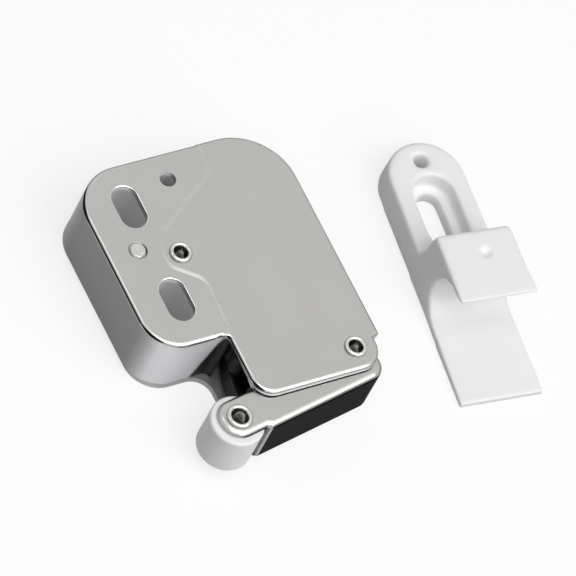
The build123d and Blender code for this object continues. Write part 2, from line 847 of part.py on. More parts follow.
# Keeper, drawn lengthwise from its tongue end and then laid in place
keeper_axes = Plane(
    origin=(keeper_x, keeper_y, 0),
    x_dir=(cos(radians(keeper_turn)), -sin(radians(keeper_turn)), 0),
    z_dir=(0, 0, 1),
)
head_radius = keeper_head_width / 2
head_centre = keeper_length - head_radius
with BuildPart() as keeper:
    with BuildSketch():
        with BuildLine():
            Polyline(
                (-head_radius, head_centre),
                (-keeper_tail_width / 2, 0),
                (keeper_tail_width / 2, 0),
                (head_radius, head_centre),
            )
            ThreePointArc((head_radius, head_centre), (0, keeper_length), (-head_radius, head_centre))
        make_face()
    extrude(amount=hook_top, taper=keeper_draft)
    lean = (hook_top - keeper_base) * sin(radians(hook_lean))
    with BuildSketch(Plane.YZ):
        with BuildLine():
            Polyline(
                (pocket_place, tongue_root),
                (0, tongue_tip),
                (0, 0),
                (keeper_length, 0),
                (keeper_length, keeper_base),
                (hook_rear, keeper_base),
                (hook_rear - lean, hook_top),
                (lip_reach, hook_top),
                (lip_reach, hook_top - lip_tip),
                (pocket_place, pocket_height + pocket_radius),
            )
            ThreePointArc(
                (pocket_place, pocket_height + pocket_radius),
                (pocket_place + pocket_radius, pocket_height),
                (pocket_place, tongue_root),
            )
        make_face()
    extrude(amount=keeper_tail_width, both=True, mode=Mode.INTERSECT)
    with BuildSketch(Plane.XY.offset(keeper_base)):
        with Locations((0, (keeper_slot_top + keeper_slot_bottom) / 2)):
            SlotCenterToCenter(keeper_slot_top - keeper_slot_bottom, keeper_recess_width, rotation=90)
    extrude(amount=-(keeper_base - keeper_recess_floor), mode=Mode.SUBTRACT)
    with BuildSketch():
        with Locations((0, (keeper_slot_top + keeper_slot_bottom) / 2)):
            SlotCenterToCenter(keeper_slot_top - keeper_slot_bottom, keeper_slot_width, rotation=90)
        with Locations((0, pilot_place)):
            Circle(pilot_diameter / 2)
    extrude(amount=keeper_base, mode=Mode.SUBTRACT)
    dimple_ball = (dimple_diameter**2 / 4 + dimple_depth**2) / (2 * dimple_depth)
    soft_edges = [
        edge
        for edge in keeper.edges()
        if (
            abs(edge.center().Z - keeper_base) < 0.01
            and edge.length > 1.0
            and edge.center().Y > hook_rear + 0.1
        )
        or abs(edge.center().Z - hook_top) < 0.01
        or abs(edge.center().Z - (hook_top + keeper_base) / 2) < 0.01
    ]
    fillet([edge for edge in soft_edges if abs(edge.center().Y - pilot_place) > pilot_diameter], keeper_edge)
    with Locations((dimple_side, dimple_place, hook_top + dimple_ball - dimple_depth)):
        Sphere(dimple_ball, mode=Mode.SUBTRACT)
keeper.part = keeper_axes.location * keeper.part
keeper.part.label = "keeper"

pieces = {
    "front_shell": front_shell,
    "back_plate": back_plate,
    "arm": arm,
    "roller": roller,
    "roller_bush": roller_bush,
    "roller_axle": roller_axle,
    "back_shim": back_shim,
    "front_shim": front_shim,
    "arm_rivet": arm_rivet,
    "arm_sleeve": arm_sleeve,
    "lever_rivet": lever_rivet,
    "lever_sleeve": lever_sleeve,
    "upper_slot_sleeve": upper_slot_sleeve,
    "lower_slot_sleeve": lower_slot_sleeve,
    "small_hole_sleeve": small_hole_sleeve,
    "spacer_stud": spacer_stud,
    "cam_block": cam_block,
    "cam_pin": cam_pin,
    "follower_lever": follower_lever,
    "follower_pin": follower_pin,
    "arm_spring": arm_spring,
    "lever_spring": lever_spring,
    "keeper": keeper,
}
for name, piece in pieces.items():
    export_step(piece.part, f"parts/{name}.step")
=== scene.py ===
"""Touch latch and its keeper: surfaces, finishes, floor, lamps and camera.

The file is laid out as a Blender add-on and run as a script. Lengths are in metres. The
latch lies on its back: X runs across the case, Y along its slots, Z out of the front.
"""
import json
from math import pi, radians

import bmesh
import bpy
import numpy as np
from mathutils import Matrix, Vector


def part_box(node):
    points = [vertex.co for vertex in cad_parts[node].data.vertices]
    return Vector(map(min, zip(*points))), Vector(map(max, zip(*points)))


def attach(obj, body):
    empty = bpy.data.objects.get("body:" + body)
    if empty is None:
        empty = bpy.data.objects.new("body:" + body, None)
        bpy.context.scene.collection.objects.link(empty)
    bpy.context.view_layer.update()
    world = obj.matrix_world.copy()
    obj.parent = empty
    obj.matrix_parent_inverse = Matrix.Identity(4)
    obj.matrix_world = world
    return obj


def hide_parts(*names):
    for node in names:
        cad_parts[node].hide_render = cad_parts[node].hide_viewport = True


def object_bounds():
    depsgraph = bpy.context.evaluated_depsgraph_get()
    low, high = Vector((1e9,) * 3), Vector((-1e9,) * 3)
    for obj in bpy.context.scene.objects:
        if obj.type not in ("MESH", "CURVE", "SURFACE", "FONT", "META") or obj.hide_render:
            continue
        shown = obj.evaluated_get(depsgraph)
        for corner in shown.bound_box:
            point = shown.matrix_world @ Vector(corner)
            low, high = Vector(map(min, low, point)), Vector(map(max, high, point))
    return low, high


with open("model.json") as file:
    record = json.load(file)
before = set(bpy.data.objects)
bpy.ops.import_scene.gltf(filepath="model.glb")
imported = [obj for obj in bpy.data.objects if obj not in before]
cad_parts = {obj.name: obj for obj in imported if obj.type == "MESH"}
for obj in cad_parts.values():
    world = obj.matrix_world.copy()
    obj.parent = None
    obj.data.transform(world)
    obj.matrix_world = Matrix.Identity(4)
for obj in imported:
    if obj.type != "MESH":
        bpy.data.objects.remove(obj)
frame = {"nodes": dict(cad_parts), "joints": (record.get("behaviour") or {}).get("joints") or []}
cad_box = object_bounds()

bl_info = {
    "name": "Touch latch",
    "version": (1, 0, 0),
    "blender": (4, 5, 0),
    "location": "3D View > Sidebar > Latch",
    "description": "Builds the looks of a touch latch with its keeper",
    "category": "Object",
}

MM = 0.001

# Camera of the photograph: its axes in the latch's frame, the point at the picture's centre,
# the width that the picture takes in there, and the sensor's width in millimetres
CAMERA_RIGHT = Vector((0.85450, -0.42849, 0.29363))
CAMERA_UP = Vector((0.23389, 0.82213, 0.51904))
CAMERA_BACK = Vector((-0.46380, -0.37484, 0.80273))
CAMERA_TARGET = Vector((23.55, -5.51, 0.0)) * MM
PICTURE_WIDTH = 83.0 * MM
SENSOR = 36.0

# Lamps: the direction from the middle of the part, the distance and the side of the square.
# Then the direction of the dark card overhead.
LAMPS = (
    ("key_lamp", (0.25, -0.66, 0.71), 1.15, 1.1),
    ("top_lamp", (-0.10, -0.25, 0.96), 1.1, 0.75),
    ("fill_lamp", (-0.42, -0.50, 0.76), 1.1, 0.5),
    ("edge_lamp", (-0.32, 0.38, 0.87), 1.1, 0.25),
    ("back_lamp", (0.27, 0.70, 0.66), 1.1, 0.3),
)
CARD_DIRECTION = (0.03, 0.375, 0.93)

# Plated sheet: the share of its colour left as painted shade on walls that face along X and
# on the slopes of the pressed step, and by a given share where it lies level, how much its
# roughness rises, a ramp that also blends in the painted shade of the slopes
WALL_PAINTED_SHADE = 0.36
SLOPE_PAINTED_SHADE = 0.65
ROUGHER_AND_SHADED = ((0, 0.2), (0.3, 0), (0.955, 0), (0.968, 0.2), (0.985, 0.2), (0.998, 0))

# Front shell: the directions that its painted dark reflection along the bend faces, along the
# left edge and at the lower left corner, each with the cosines between which it fades in
PAINTED_DARK_BENDS = (((-0.80, 0.30, 0.50), 0.90, 0.945), ((-0.733, -0.342, 0.588), 0.93, 0.96))
BEND_PAINTED_REFLECTION = (0.01, 0.01, 0.01)

# Painted dark reflection on the front shell's wall in the notch: its corner, the slanted
# direction across its edge, where it fades in past that edge, and how far from the corner it
# fades out
NOTCH_CORNER = (4.5 * MM, -17.5 * MM, 5.5 * MM)
NOTCH_SLANT = (1, 0, -0.258)
NOTCH_EDGE = (1.1 * MM, 1.7 * MM)
NOTCH_REACH = (5.5 * MM, 6.5 * MM)
NOTCH_PAINTED_REFLECTION = (0.012, 0.012, 0.012)

# Painted highlight on the rims of the slots: where the rims end across and along the case,
# and how much of the highlight shows where they lie level by a given share
SLOT_RIM_ACROSS = (2.6 * MM, 3.0 * MM)
SLOT_RIM_ALONG = (12.3 * MM, 12.8 * MM)
RIM_SHOWS = ((0.2, 0), (0.4, 1), (0.9, 1), (0.95, 0))
RIM_PAINTED_HIGHLIGHT = (0.93, 0.93, 0.92)

# Arm: the direction that the outer face of its web faces, which takes a painted dark
# reflection
WEB_NORMAL = (0.163, -0.987, 0.0)

# Springs: pitch in wire thicknesses. Then for each spring the height of its coil's foot, the
# angle in degrees where the coil starts, its turns, and how far it runs on past its moving
# leg, which slides along it as the arm or lever swings. Then the lengths of its legs.
WINDING_PITCH = 1.15
ARM_COIL_FOOT, ARM_COIL_FIRST, ARM_TURNS, ARM_OVERRUN = 3.0 * MM, -4.372, 5.194, 0.028
ARM_CASE_LEG, ARM_MOVING_LEG = 10.1 * MM, 11.0 * MM
LEVER_COIL_FOOT, LEVER_COIL_FIRST, LEVER_TURNS, LEVER_OVERRUN = 2.2 * MM, 250.04, 4.877, 0.014
LEVER_CASE_LEG, LEVER_MOVING_LEG, LEVER_HOOK = 8.0 * MM, 8.0 * MM, 2.2 * MM

# Rivets and stud: radius of the pinhole along the axis, where a turned surface closes, and
# how far the stud's shoulder lies under the front plate's outer face
PINHOLE = 0.02 * MM
SHOULDER_DEPTH = 1.05 * MM

# Keeper: its turn, the size of the cubes that rebuild it and the rounds of smoothing
KEEPER_TURN = radians(6.2)
KEEPER_CUBE, KEEPER_ROUNDS = 0.2 * MM, 24

# Thin parts of the keeper and the share of the smoothing that they lose. The lip lies above
# its foot and the tongue below its top. Along the keeper, each fades out up to its end.
THIN_HOLD = 0.8
LIP_FOOT, LIP_END, LIP_FADE = 8.5 * MM, 15.5 * MM, 3 * MM
TONGUE_TOP, TONGUE_END, TONGUE_FADE = 2.5 * MM, 16 * MM, 4 * MM

# Dimple in the keeper's lip: its place to the side of the middle and along the keeper, its
# radius, its depth, and the depth of the band under the top that it reaches
DIMPLE_SIDE, DIMPLE_PLACE = 0.6 * MM, 18.25 * MM
DIMPLE_RADIUS, DIMPLE_DEPTH, DIMPLE_BAND = 1.15 * MM, 0.34 * MM, 0.6 * MM

# Floor: how far it lies under the part, so that their faces stay apart
FLOOR_DEPTH = 0.02 * MM

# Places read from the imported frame
pivots = {joint["name"]: Vector(joint["pos_m"]) for joint in frame["joints"]}
ARM_PIVOT = pivots["arm_swing"]
LEVER_PIVOT = pivots["follower_swing"]


def middle_of(node):
    """Centre of a CAD node's box."""
    low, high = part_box(node)
    return (Vector(low) + Vector(high)) / 2


class LatchSizes(bpy.types.PropertyGroup):
    """Sizes of the pieces that are worked out here."""

    roller_bore: bpy.props.FloatProperty(
        name="Roller bore",
        description="Radius of the hole that the bush stands in",
        default=2.15 * MM,
        unit="LENGTH",
        precision=5,
    )
    roller_edge: bpy.props.FloatProperty(
        name="Roller edge",
        description="Rounding of the roller's rims",
        default=0.45 * MM,
        unit="LENGTH",
        precision=5,
    )
    rivet_bore: bpy.props.FloatProperty(
        name="Rivet bore",
        description="Radius of the hole in the two case rivets",
        default=0.95 * MM,
        unit="LENGTH",
        precision=5,
    )
    rivet_shank: bpy.props.FloatProperty(
        name="Rivet shank",
        description="Radius of the shank of the two case rivets",
        default=1.25 * MM,
        unit="LENGTH",
        precision=5,
    )
    axle_bore: bpy.props.FloatProperty(
        name="Axle bore",
        description="Radius of the hole in the roller's axle",
        default=1.15 * MM,
        unit="LENGTH",
        precision=5,
    )
    axle_shank: bpy.props.FloatProperty(
        name="Axle shank",
        description="Radius of the shank of the roller's axle",
        default=1.45 * MM,
        unit="LENGTH",
        precision=5,
    )
    flange_thickness: bpy.props.FloatProperty(
        name="Flange thickness",
        description="Thickness of the foot flange and of the rolled head of each rivet",
        default=0.5 * MM,
        unit="LENGTH",
        precision=5,
    )
    bore_depth: bpy.props.FloatProperty(
        name="Bore depth",
        description="Depth of the blind hole in each rivet's head",
        default=3.4 * MM,
        unit="LENGTH",
        precision=5,
    )
    stud_tip: bpy.props.FloatProperty(
        name="Stud tip",
        description="Radius of the stud's tip in the hole of the front plate",
        default=1.42 * MM,
        unit="LENGTH",
        precision=5,
    )
    stud_face: bpy.props.FloatProperty(
        name="Stud face",
        description="Radius of the hammered face on the stud's tip",
        default=1.12 * MM,
        unit="LENGTH",
        precision=5,
    )
    arm_wire: bpy.props.FloatProperty(
        name="Arm spring wire",
        description="Thickness of the wire of the arm's spring",
        default=0.8 * MM,
        unit="LENGTH",
        precision=5,
    )
    arm_coil: bpy.props.FloatProperty(
        name="Arm spring coil",
        description="Radius of the arm spring's coil, to the middle of the wire",
        default=2.55 * MM,
        unit="LENGTH",
        precision=5,
    )
    lever_wire: bpy.props.FloatProperty(
        name="Lever spring wire",
        description="Thickness of the wire of the lever's spring",
        default=0.5 * MM,
        unit="LENGTH",
        precision=5,
    )
    lever_coil: bpy.props.FloatProperty(
        name="Lever spring coil",
        description="Radius of the lever spring's coil, to the middle of the wire",
        default=2.05 * MM,
        unit="LENGTH",
        precision=5,
    )
    grain: bpy.props.FloatProperty(
        name="Sheet grain",
        description="Width of the fine lines that rolling leaves in the sheet",
        default=0.09 * MM,
        unit="LENGTH",
        precision=6,
    )


class LatchColours(bpy.types.PropertyGroup):
    """Colours of the finishes."""

    nickel: bpy.props.FloatVectorProperty(
        name="Nickel",
        description="Colour of the plated sheet",
        default=(0.487, 0.482, 0.468),
        subtype="COLOR",
        size=3,
        min=0,
        max=1,
    )
    # Painted light and shade: the wall colour is a much brighter copy of the nickel, standing in
    # for the bright reflections on walls that face along Y, and it is darkened as painted shade
    # where walls face along X. Its bluish tint and dullness are the walls' own.
    wall: bpy.props.FloatVectorProperty(
        name="Drawn wall",
        description="Colour of the plated walls, duller from drawing than the flat sheet",
        default=(0.92, 0.92, 0.945),
        subtype="COLOR",
        size=3,
        min=0,
        max=1,
    )
    zinc: bpy.props.FloatVectorProperty(
        name="Zinc",
        description="Colour of the dull plating of the back plate",
        default=(0.75, 0.75, 0.76),
        subtype="COLOR",
        size=3,
        min=0,
        max=1,
    )
    # Painted dark reflection: the near black that the outer face of the arm's web takes
    web: bpy.props.FloatVectorProperty(
        name="Web",
        description="Colour of the arm's outer face, where the plating is dark",
        default=(0.007, 0.007, 0.0075),
        subtype="COLOR",
        size=3,
        min=0,
        max=1,
    )
    bright_steel: bpy.props.FloatVectorProperty(
        name="Bright steel",
        description="Colour of the rivets, pins, sleeves and shims",
        default=(0.62, 0.615, 0.60),
        subtype="COLOR",
        size=3,
        min=0,
        max=1,
    )
    wire: bpy.props.FloatVectorProperty(
        name="Spring wire",
        description="Colour of the drawn spring wire",
        default=(0.25, 0.25, 0.26),
        subtype="COLOR",
        size=3,
        min=0,
        max=1,
    )
    white_plastic: bpy.props.FloatVectorProperty(
        name="White plastic",
        description="Colour of the roller and the keeper",
        default=(0.90, 0.90, 0.905),
        subtype="COLOR",
        size=3,
        min=0,
        max=1,
    )
    black_plastic: bpy.props.FloatVectorProperty(
        name="Black plastic",
        description="Colour of the cam block and the follower lever",
        default=(0.005, 0.005, 0.006),
        subtype="COLOR",
        size=3,
        min=0,
        max=1,
    )


class LatchStudio(bpy.types.PropertyGroup):
    """Floor, lamps and camera."""

    floor_size: bpy.props.FloatProperty(
        name="Floor size",
        description="Side of the square floor",
        default=6.0,
        unit="LENGTH",
    )
    floor_colour: bpy.props.FloatVectorProperty(
        name="Floor",
        description="Colour of the floor",
        default=(0.36, 0.36, 0.36),
        subtype="COLOR",
        size=3,
        min=0,
        max=1,
    )
    floor_glow: bpy.props.FloatProperty(
        name="Floor glow",
        description="Share of plain white in what the camera sees of the floor",
        default=0.75,
        subtype="FACTOR",
        min=0,
        max=1,
    )
    mirrored_glow: bpy.props.FloatProperty(
        name="Mirrored glow",
        description="Share of plain white in what the metal mirrors of the floor",
        default=0.12,
        subtype="FACTOR",
        min=0,
        max=1,
    )
    room_light: bpy.props.FloatProperty(
        name="Room light",
        description="Strength of the even light from all round",
        default=0.23,
        min=0,
    )
    key_lamp: bpy.props.FloatProperty(
        name="Key lamp",
        description="Power in watts of the large soft lamp at the front right",
        default=7.8,
        min=0,
    )
    top_lamp: bpy.props.FloatProperty(
        name="Top lamp",
        description="Power in watts of the soft lamp overhead",
        default=3.6,
        min=0,
    )
    fill_lamp: bpy.props.FloatProperty(
        name="Fill lamp",
        description="Power in watts of the soft lamp at the front left",
        default=0.9,
        min=0,
    )
    edge_lamp: bpy.props.FloatProperty(
        name="Edge lamp",
        description="Power in watts of the lamp that draws the bright line along the left bend",
        default=0.4,
        min=0,
    )
    back_lamp: bpy.props.FloatProperty(
        name="Back lamp",
        description="Power in watts of the small lamp behind, which draws the pressed step",
        default=0.22,
        min=0,
    )
    card_size: bpy.props.FloatProperty(
        name="Card size",
        description="Side of the dark card overhead, which the pressed step mirrors",
        default=0.24,
        unit="LENGTH",
    )
    curtain_distance: bpy.props.FloatProperty(
        name="Curtain distance",
        description="Radius of the dark curtain round the stage, which the metal mirrors",
        default=0.9,
        unit="LENGTH",
    )
    curtain_height: bpy.props.FloatProperty(
        name="Curtain height",
        description="Height of the dark curtain",
        default=0.12,
        unit="LENGTH",
    )
    lens: bpy.props.FloatProperty(
        name="Lens",
        description="Focal length of the camera, in millimetres",
        default=500.0,
        min=50,
    )


def mesh_from_grid(name, points, close_rows, close_columns):
    """Mesh over a grid of points, shaped (rows, columns, 3).

    Point (i, j) is joined to (i + 1, j), (i + 1, j + 1) and (i, j + 1) by one face. Rows
    and columns close on themselves where asked. A surface that comes out inside out is
    turned over. The UV map "along" holds the place in the grid, from 0 to 1.
    """
    rows, columns = points.shape[:2]
    row = np.arange(rows if close_rows else rows - 1)
    column = np.arange(columns if close_columns else columns - 1)
    i, j = np.meshgrid(row, column, indexing="ij")
    here, there = i * columns, (i + 1) % rows * columns
    j_next = (j + 1) % columns
    faces = np.stack([here + j, there + j, there + j_next, here + j_next], -1).reshape(-1, 4)
    flat = points.reshape(-1, 3)
    a, b, c, d = (flat[faces[:, k]] for k in range(4))
    volume = np.einsum("ij,ij->i", a, np.cross(b, c) + np.cross(c, d)).sum()
    if volume < 0:
        faces = faces[:, ::-1]
    mesh = bpy.data.meshes.new(name)
    mesh.vertices.add(len(flat))
    mesh.vertices.foreach_set("co", flat.ravel())
    mesh.loops.add(faces.size)
    mesh.loops.foreach_set("vertex_index", faces.ravel())
    mesh.polygons.add(len(faces))
    mesh.polygons.foreach_set("loop_start", np.arange(len(faces)) * 4)
    mesh.polygons.foreach_set("loop_total", np.full(len(faces), 4))
    mesh.update(calc_edges=True)
    down = np.stack([i, i + 1, i + 1, i], -1) / rows
    across = np.stack([j, j, j + 1, j + 1], -1) / columns
    grid_uv = np.stack([down, across], -1)
    if volume < 0:
        grid_uv = grid_uv[:, :, ::-1]
    mesh.uv_layers.new(name="along").data.foreach_set("uv", grid_uv.ravel())
    mesh.polygons.foreach_set("use_smooth", np.full(len(faces), True))
    return mesh


def add_piece(name, mesh, body, material, node):
    """Puts a finished mesh in the scene, on its body, in place of its CAD node."""
    piece = bpy.data.objects.new(name, mesh)
    bpy.context.scene.collection.objects.link(piece)
    mesh.materials.append(material)
    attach(piece, body)
    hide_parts(node)


def ellipse(centre, half_width, half_height, first, last, count=12):
    """Points on an ellipse in the (r, z) plane, from one angle to another in degrees."""
    turn = np.radians(np.linspace(first, last, count))
    x, z = half_width * np.cos(turn), half_height * np.sin(turn)
    return np.stack([centre[0] + x, centre[1] + z], -1)


def arc(centre, radius, first, last, count=8):
    """Points on a circle in the (r, z) plane, from one angle to another in degrees."""
    return ellipse(centre, radius, radius, first, last, count)


def with_support(outline, share=0.04, longest=0.3 * MM):
    """Closed outline with a point added near each end of its long stretches.

    The extra points lie at the given share of the stretch from its ends, so that a flat
    face keeps a flat shade up to its rounded edge.
    """
    following = np.roll(outline, -1, axis=0)
    step = following - outline
    long = np.hypot(step[:, 0], step[:, 1]) > longest
    near = outline + step * share
    far = outline + step * (1 - share)
    stacked = np.stack([outline, near, far], 1)
    keep = np.stack([np.full(len(outline), True), long, long], 1)
    return stacked[keep]


def turned_surface(name, outline, centre, around=96):
    """Surface of revolution of a closed (r, z) outline about a vertical axis.

    Each point (r, z) goes to (x + r cos t, y + r sin t, z) for every angle t.
    """
    turn = np.linspace(0, 2 * pi, around, endpoint=False)[:, None]
    r, z = outline[None, :, 0], outline[None, :, 1]
    x, y = centre.x + r * np.cos(turn), centre.y + r * np.sin(turn)
    points = np.stack([x, y, np.broadcast_to(z, x.shape)], -1)
    return mesh_from_grid(name, points, True, True)


def wire_surface(name, line, side, radius, around=20):
    """Round wire along a line of points, with a half ball at each end.

    Ring i is the circle of the wire's radius round point i, spanned by the given side
    direction and the direction square to it and to the line. The first and last rings
    shrink by cos a while they move outwards by sin a, which gives the half balls.
    """
    tangent = np.gradient(line, axis=0)
    tangent /= np.linalg.norm(tangent, axis=1, keepdims=True)
    cap = np.radians(np.linspace(90, 0, 6, endpoint=False))
    head = line[0] - np.outer(np.sin(cap), tangent[0]) * radius
    tail = line[-1] + np.outer(np.sin(cap[::-1]), tangent[-1]) * radius
    centres = np.concatenate([head, line, tail])
    widths = np.concatenate([np.cos(cap), np.ones(len(line)), np.cos(cap[::-1])]) * radius
    ends = len(cap)
    sides, forward = (np.pad(each, ((ends, ends), (0, 0)), "edge") for each in (side, tangent))
    over = np.cross(forward, sides)
    over /= np.linalg.norm(over, axis=1, keepdims=True)
    turn = np.linspace(pi, 3 * pi, around, endpoint=False)
    to_side, to_over = np.cos(turn)[None, :, None], np.sin(turn)[None, :, None]
    ring = to_side * sides[:, None] + to_over * over[:, None]
    points = centres[:, None] + widths[:, None, None] * ring
    return mesh_from_grid(name, points, False, True)


class Winding:
    """Middle line of a torsion spring's coil round a vertical axis.

    After u turns it stands at the angle first + 360 u, counted with the coil's sense, at
    the coil's radius, and u times the pitch above its foot.
    """

    def __init__(self, pivot, radius, wire, foot, first, sense):
        self.pivot, self.radius, self.foot = pivot, radius, foot
        self.first, self.sense = radians(first), sense
        self.pitch = wire * WINDING_PITCH

    def at(self, turns):
        """Points after some turns, the outward directions there and those along the wire."""
        angle = self.first + self.sense * 2 * pi * turns
        level = np.zeros_like(angle)
        outward = np.stack([np.cos(angle), np.sin(angle), level], -1)
        rise = level + self.pitch / (2 * pi * self.radius)
        along = np.stack([-self.sense * np.sin(angle), self.sense * np.cos(angle), rise], -1)
        along /= np.linalg.norm(along, axis=-1, keepdims=True)
        height = self.foot + self.pitch * turns
        place = np.stack([level + self.pivot.x, level + self.pivot.y, height], -1)
        return place + self.radius * outward, outward, along

    def with_first_leg(self, length, turns):
        """Straight leg that runs on into the coil. Gives the line and its outward directions."""
        line, outward, along = self.at(np.linspace(0, turns, int(turns * 48)))
        leg = line[0] - np.outer(np.linspace(length, 0, 16, endpoint=False), along[0])
        return np.concatenate([leg, line]), np.pad(outward, ((len(leg), 0), (0, 0)), "edge")

    def last_leg(self, length, turns, hook=0.0, bend=0.5 * MM):
        """Straight leg from the coil's end, turned up by a quarter circle where it has a hook."""
        (start,), (outward,), (along,) = self.at(np.array([turns]))
        up = np.array((0.0, 0.0, 1.0))
        corner = start + along * length
        if hook > 0:
            turn = np.linspace(0, pi / 2, 10)[:, None]
            straight = start + np.outer(np.linspace(0, length - bend, 16, endpoint=False), along)
            curve = corner - along * bend * (1 - np.sin(turn)) + up * bend * (1 - np.cos(turn))
            upright = corner + np.outer(np.linspace(bend, hook, 8)[1:], up)
            line = np.concatenate([straight, curve, upright])
        else:
            line = start + np.outer(np.linspace(0, length, 24), along)
        return line, np.repeat(outward[None], len(line), 0)


class Nodes:
    """A node tree with short calls for what the materials and the room share."""

    def __init__(self, tree):
        self.tree = tree

    def put(self, value, socket):
        """Leads an output into a socket, or sets a number or a colour on it."""
        if isinstance(value, bpy.types.NodeSocket):
            self.tree.links.new(value, socket)
        else:
            socket.default_value = (*value, 1) if socket.type == "RGBA" else value

    def node(self, kind, inputs=None, **settings):
        """New node with the given settings, and with its inputs set or led in."""
        made = self.tree.nodes.new(kind)
        for key, value in settings.items():
            setattr(made, key, value)
        for key, value in (inputs or {}).items():
            self.put(value, made.inputs[key])
        return made

    def maths(self, operation, *values):
        """Sum, product or the like. Each value is a number or an output."""
        made = self.node("ShaderNodeMath", dict(enumerate(values)), operation=operation)
        return made.outputs[0]

    def blend(self, factor, first, second):
        """Mix of two colours. Each is a colour or an output."""
        inputs = {"Factor": factor, "A": first, "B": second}
        return self.node("ShaderNodeMix", inputs, data_type="RGBA").outputs["Result"]

    def spread(self, value, low, high, to_low, to_high):
        """Maps a value from one span to another, held at both ends."""
        spans = {"From Min": low, "From Max": high, "To Min": to_low, "To Max": to_high}
        return self.node("ShaderNodeMapRange", {"Value": value, **spans}).outputs["Result"]


class Finish(Nodes):
    """A material with short calls for the nodes that the finishes share."""

    def __init__(self, name):
        self.material = bpy.data.materials.new(name)
        self.material.use_nodes = True
        super().__init__(self.material.node_tree)
        self.shader = self.tree.nodes["Principled BSDF"]
        self.place = self.node("ShaderNodeTexCoord").outputs["Object"]

    def set(self, name, value):
        """Sets one of the shader's sockets, or leads an output into it."""
        self.put(value, self.shader.inputs[name])

    def stretched(self, scale):
        """The finish's coordinates multiplied along the three axes."""
        inputs = {"Scale": scale, "Vector": self.place}
        return self.node("ShaderNodeMapping", inputs).outputs["Vector"]

    def noise(self, scale, detail, roughness=0.5, stretch=None):
        """Noise between 0 and 1, on the finish's coordinates or on stretched ones."""
        place = self.stretched(stretch) if stretch else self.place
        inputs = {"Vector": place, "Scale": scale, "Detail": detail, "Roughness": roughness}
        return self.node("ShaderNodeTexNoise", inputs).outputs["Fac"]

    def own_normal(self):
        """Surface normal in the part's own axes."""
        normal = self.node("ShaderNodeNewGeometry").outputs["Normal"]
        turn = {"vector_type": "NORMAL", "convert_from": "WORLD", "convert_to": "OBJECT"}
        return self.node("ShaderNodeVectorTransform", {0: normal}, **turn).outputs[0]

    def measured(self, operation, vector, other):
        """Dot product with a fixed vector, or distance from it."""
        made = self.node("ShaderNodeVectorMath", {0: vector, 1: other}, operation=operation)
        return made.outputs["Value"]

    def turned_to(self, direction):
        """Cosine of the angle between the surface normal and a direction."""
        return self.measured("DOT_PRODUCT", self.own_normal(), Vector(direction).normalized())

    def size_along(self, vector, axis):
        """Size of a vector along an axis of the part itself."""
        axes = self.node("ShaderNodeSeparateXYZ", {0: vector})
        return self.maths("ABSOLUTE", axes.outputs[axis])

    def facing(self, axis):
        """Size of the surface normal along an axis, from 0 to 1."""
        return self.size_along(self.own_normal(), axis)

    def steps(self, value, *stops):
        """Value led through straight lines between (place, height) stops."""
        made = self.node("ShaderNodeValToRGB", {"Fac": value})
        elements = made.color_ramp.elements
        while len(elements) < len(stops):
            elements.new(0.5)
        places, heights = zip(*stops)
        for element, place in zip(elements, places):
            element.position = place
        for element, height in zip(elements, heights):
            element.color = (height, height, height, 1)
        return made.outputs["Color"]

    def cover(self, share, colour):
        """Blends a colour over the finish's own by a share."""
        base = self.shader.inputs["Base Color"]
        self.put(self.blend(share, base.links[0].from_socket, colour), base)

    def bump(self, height, distance, strength):
        """Bump from a height, into the shader's normal, on top of the one that is there."""
        inputs = {"Height": height, "Distance": distance, "Strength": strength}
        normal = self.shader.inputs["Normal"]
        if normal.is_linked:
            inputs["Normal"] = normal.links[0].from_socket
        self.put(self.node("ShaderNodeBump", inputs).outputs["Normal"], normal)


def shade_of(colour, share):
    """The colour times a share."""
    return tuple(channel * share for channel in colour)


def plated_sheet(name, colour, wall, grain, across=(1, 0.03, 1)):
    """Nickel plate on rolled sheet: cloudy gloss, fine rolling lines and a few scratches.

    The drawn walls, which stand upright, are duller than the flat faces. They take a much
    brighter colour as painted light, and a darker one where they face along X as painted
    shade. The slopes of the pressed step are duller and a little darker too, as painted shade.
    """
    finish = Finish(name)
    finish.set("Specular Tint", (0.5, 0.5, 0.5))
    cloud = finish.noise(120, 3)
    lines = finish.noise(1 / grain, 3, 0.6, across)
    flat = finish.blend(finish.spread(cloud, 0.35, 0.65, 0, 1), shade_of(colour, 0.975), colour)
    upward = finish.facing("Z")
    rougher_and_shaded = finish.steps(upward, *ROUGHER_AND_SHADED)
    # Painted shade: the slopes of the pressed step are darkened by the same ramp that raises
    # their roughness
    flat = finish.blend(rougher_and_shaded, flat, shade_of(colour, SLOPE_PAINTED_SHADE))
    upright = finish.spread(upward, 0.02, 0.3, 1, 0)
    sideways = finish.spread(finish.facing("X"), 0.7, 0.99, 0, 1)
    # Painted light and shade: upright walls take the bright wall colour, darkened where they face
    # along X
    drawn = finish.blend(sideways, wall, shade_of(wall, WALL_PAINTED_SHADE))
    finish.set("Base Color", finish.blend(upright, flat, drawn))
    flat_metal = finish.spread(upright, 0, 1, 0.75, 0)
    wall_metal = finish.spread(sideways, 0, 1, 0.25, 0.45)
    finish.set("Metallic", finish.maths("ADD", flat_metal, wall_metal))
    gloss = finish.spread(lines, 0.3, 0.7, 0.2, 0.27)
    finish.set("Roughness", finish.maths("ADD", gloss, rougher_and_shaded))
    scratch = finish.noise(900, 1, stretch=(1, 0.02, 0.3))
    finish.bump(lines, 0.002 * MM, 0.35)
    finish.bump(finish.spread(scratch, 0.76, 0.8, 0, 1), 0.002 * MM, 0.3)
    return finish


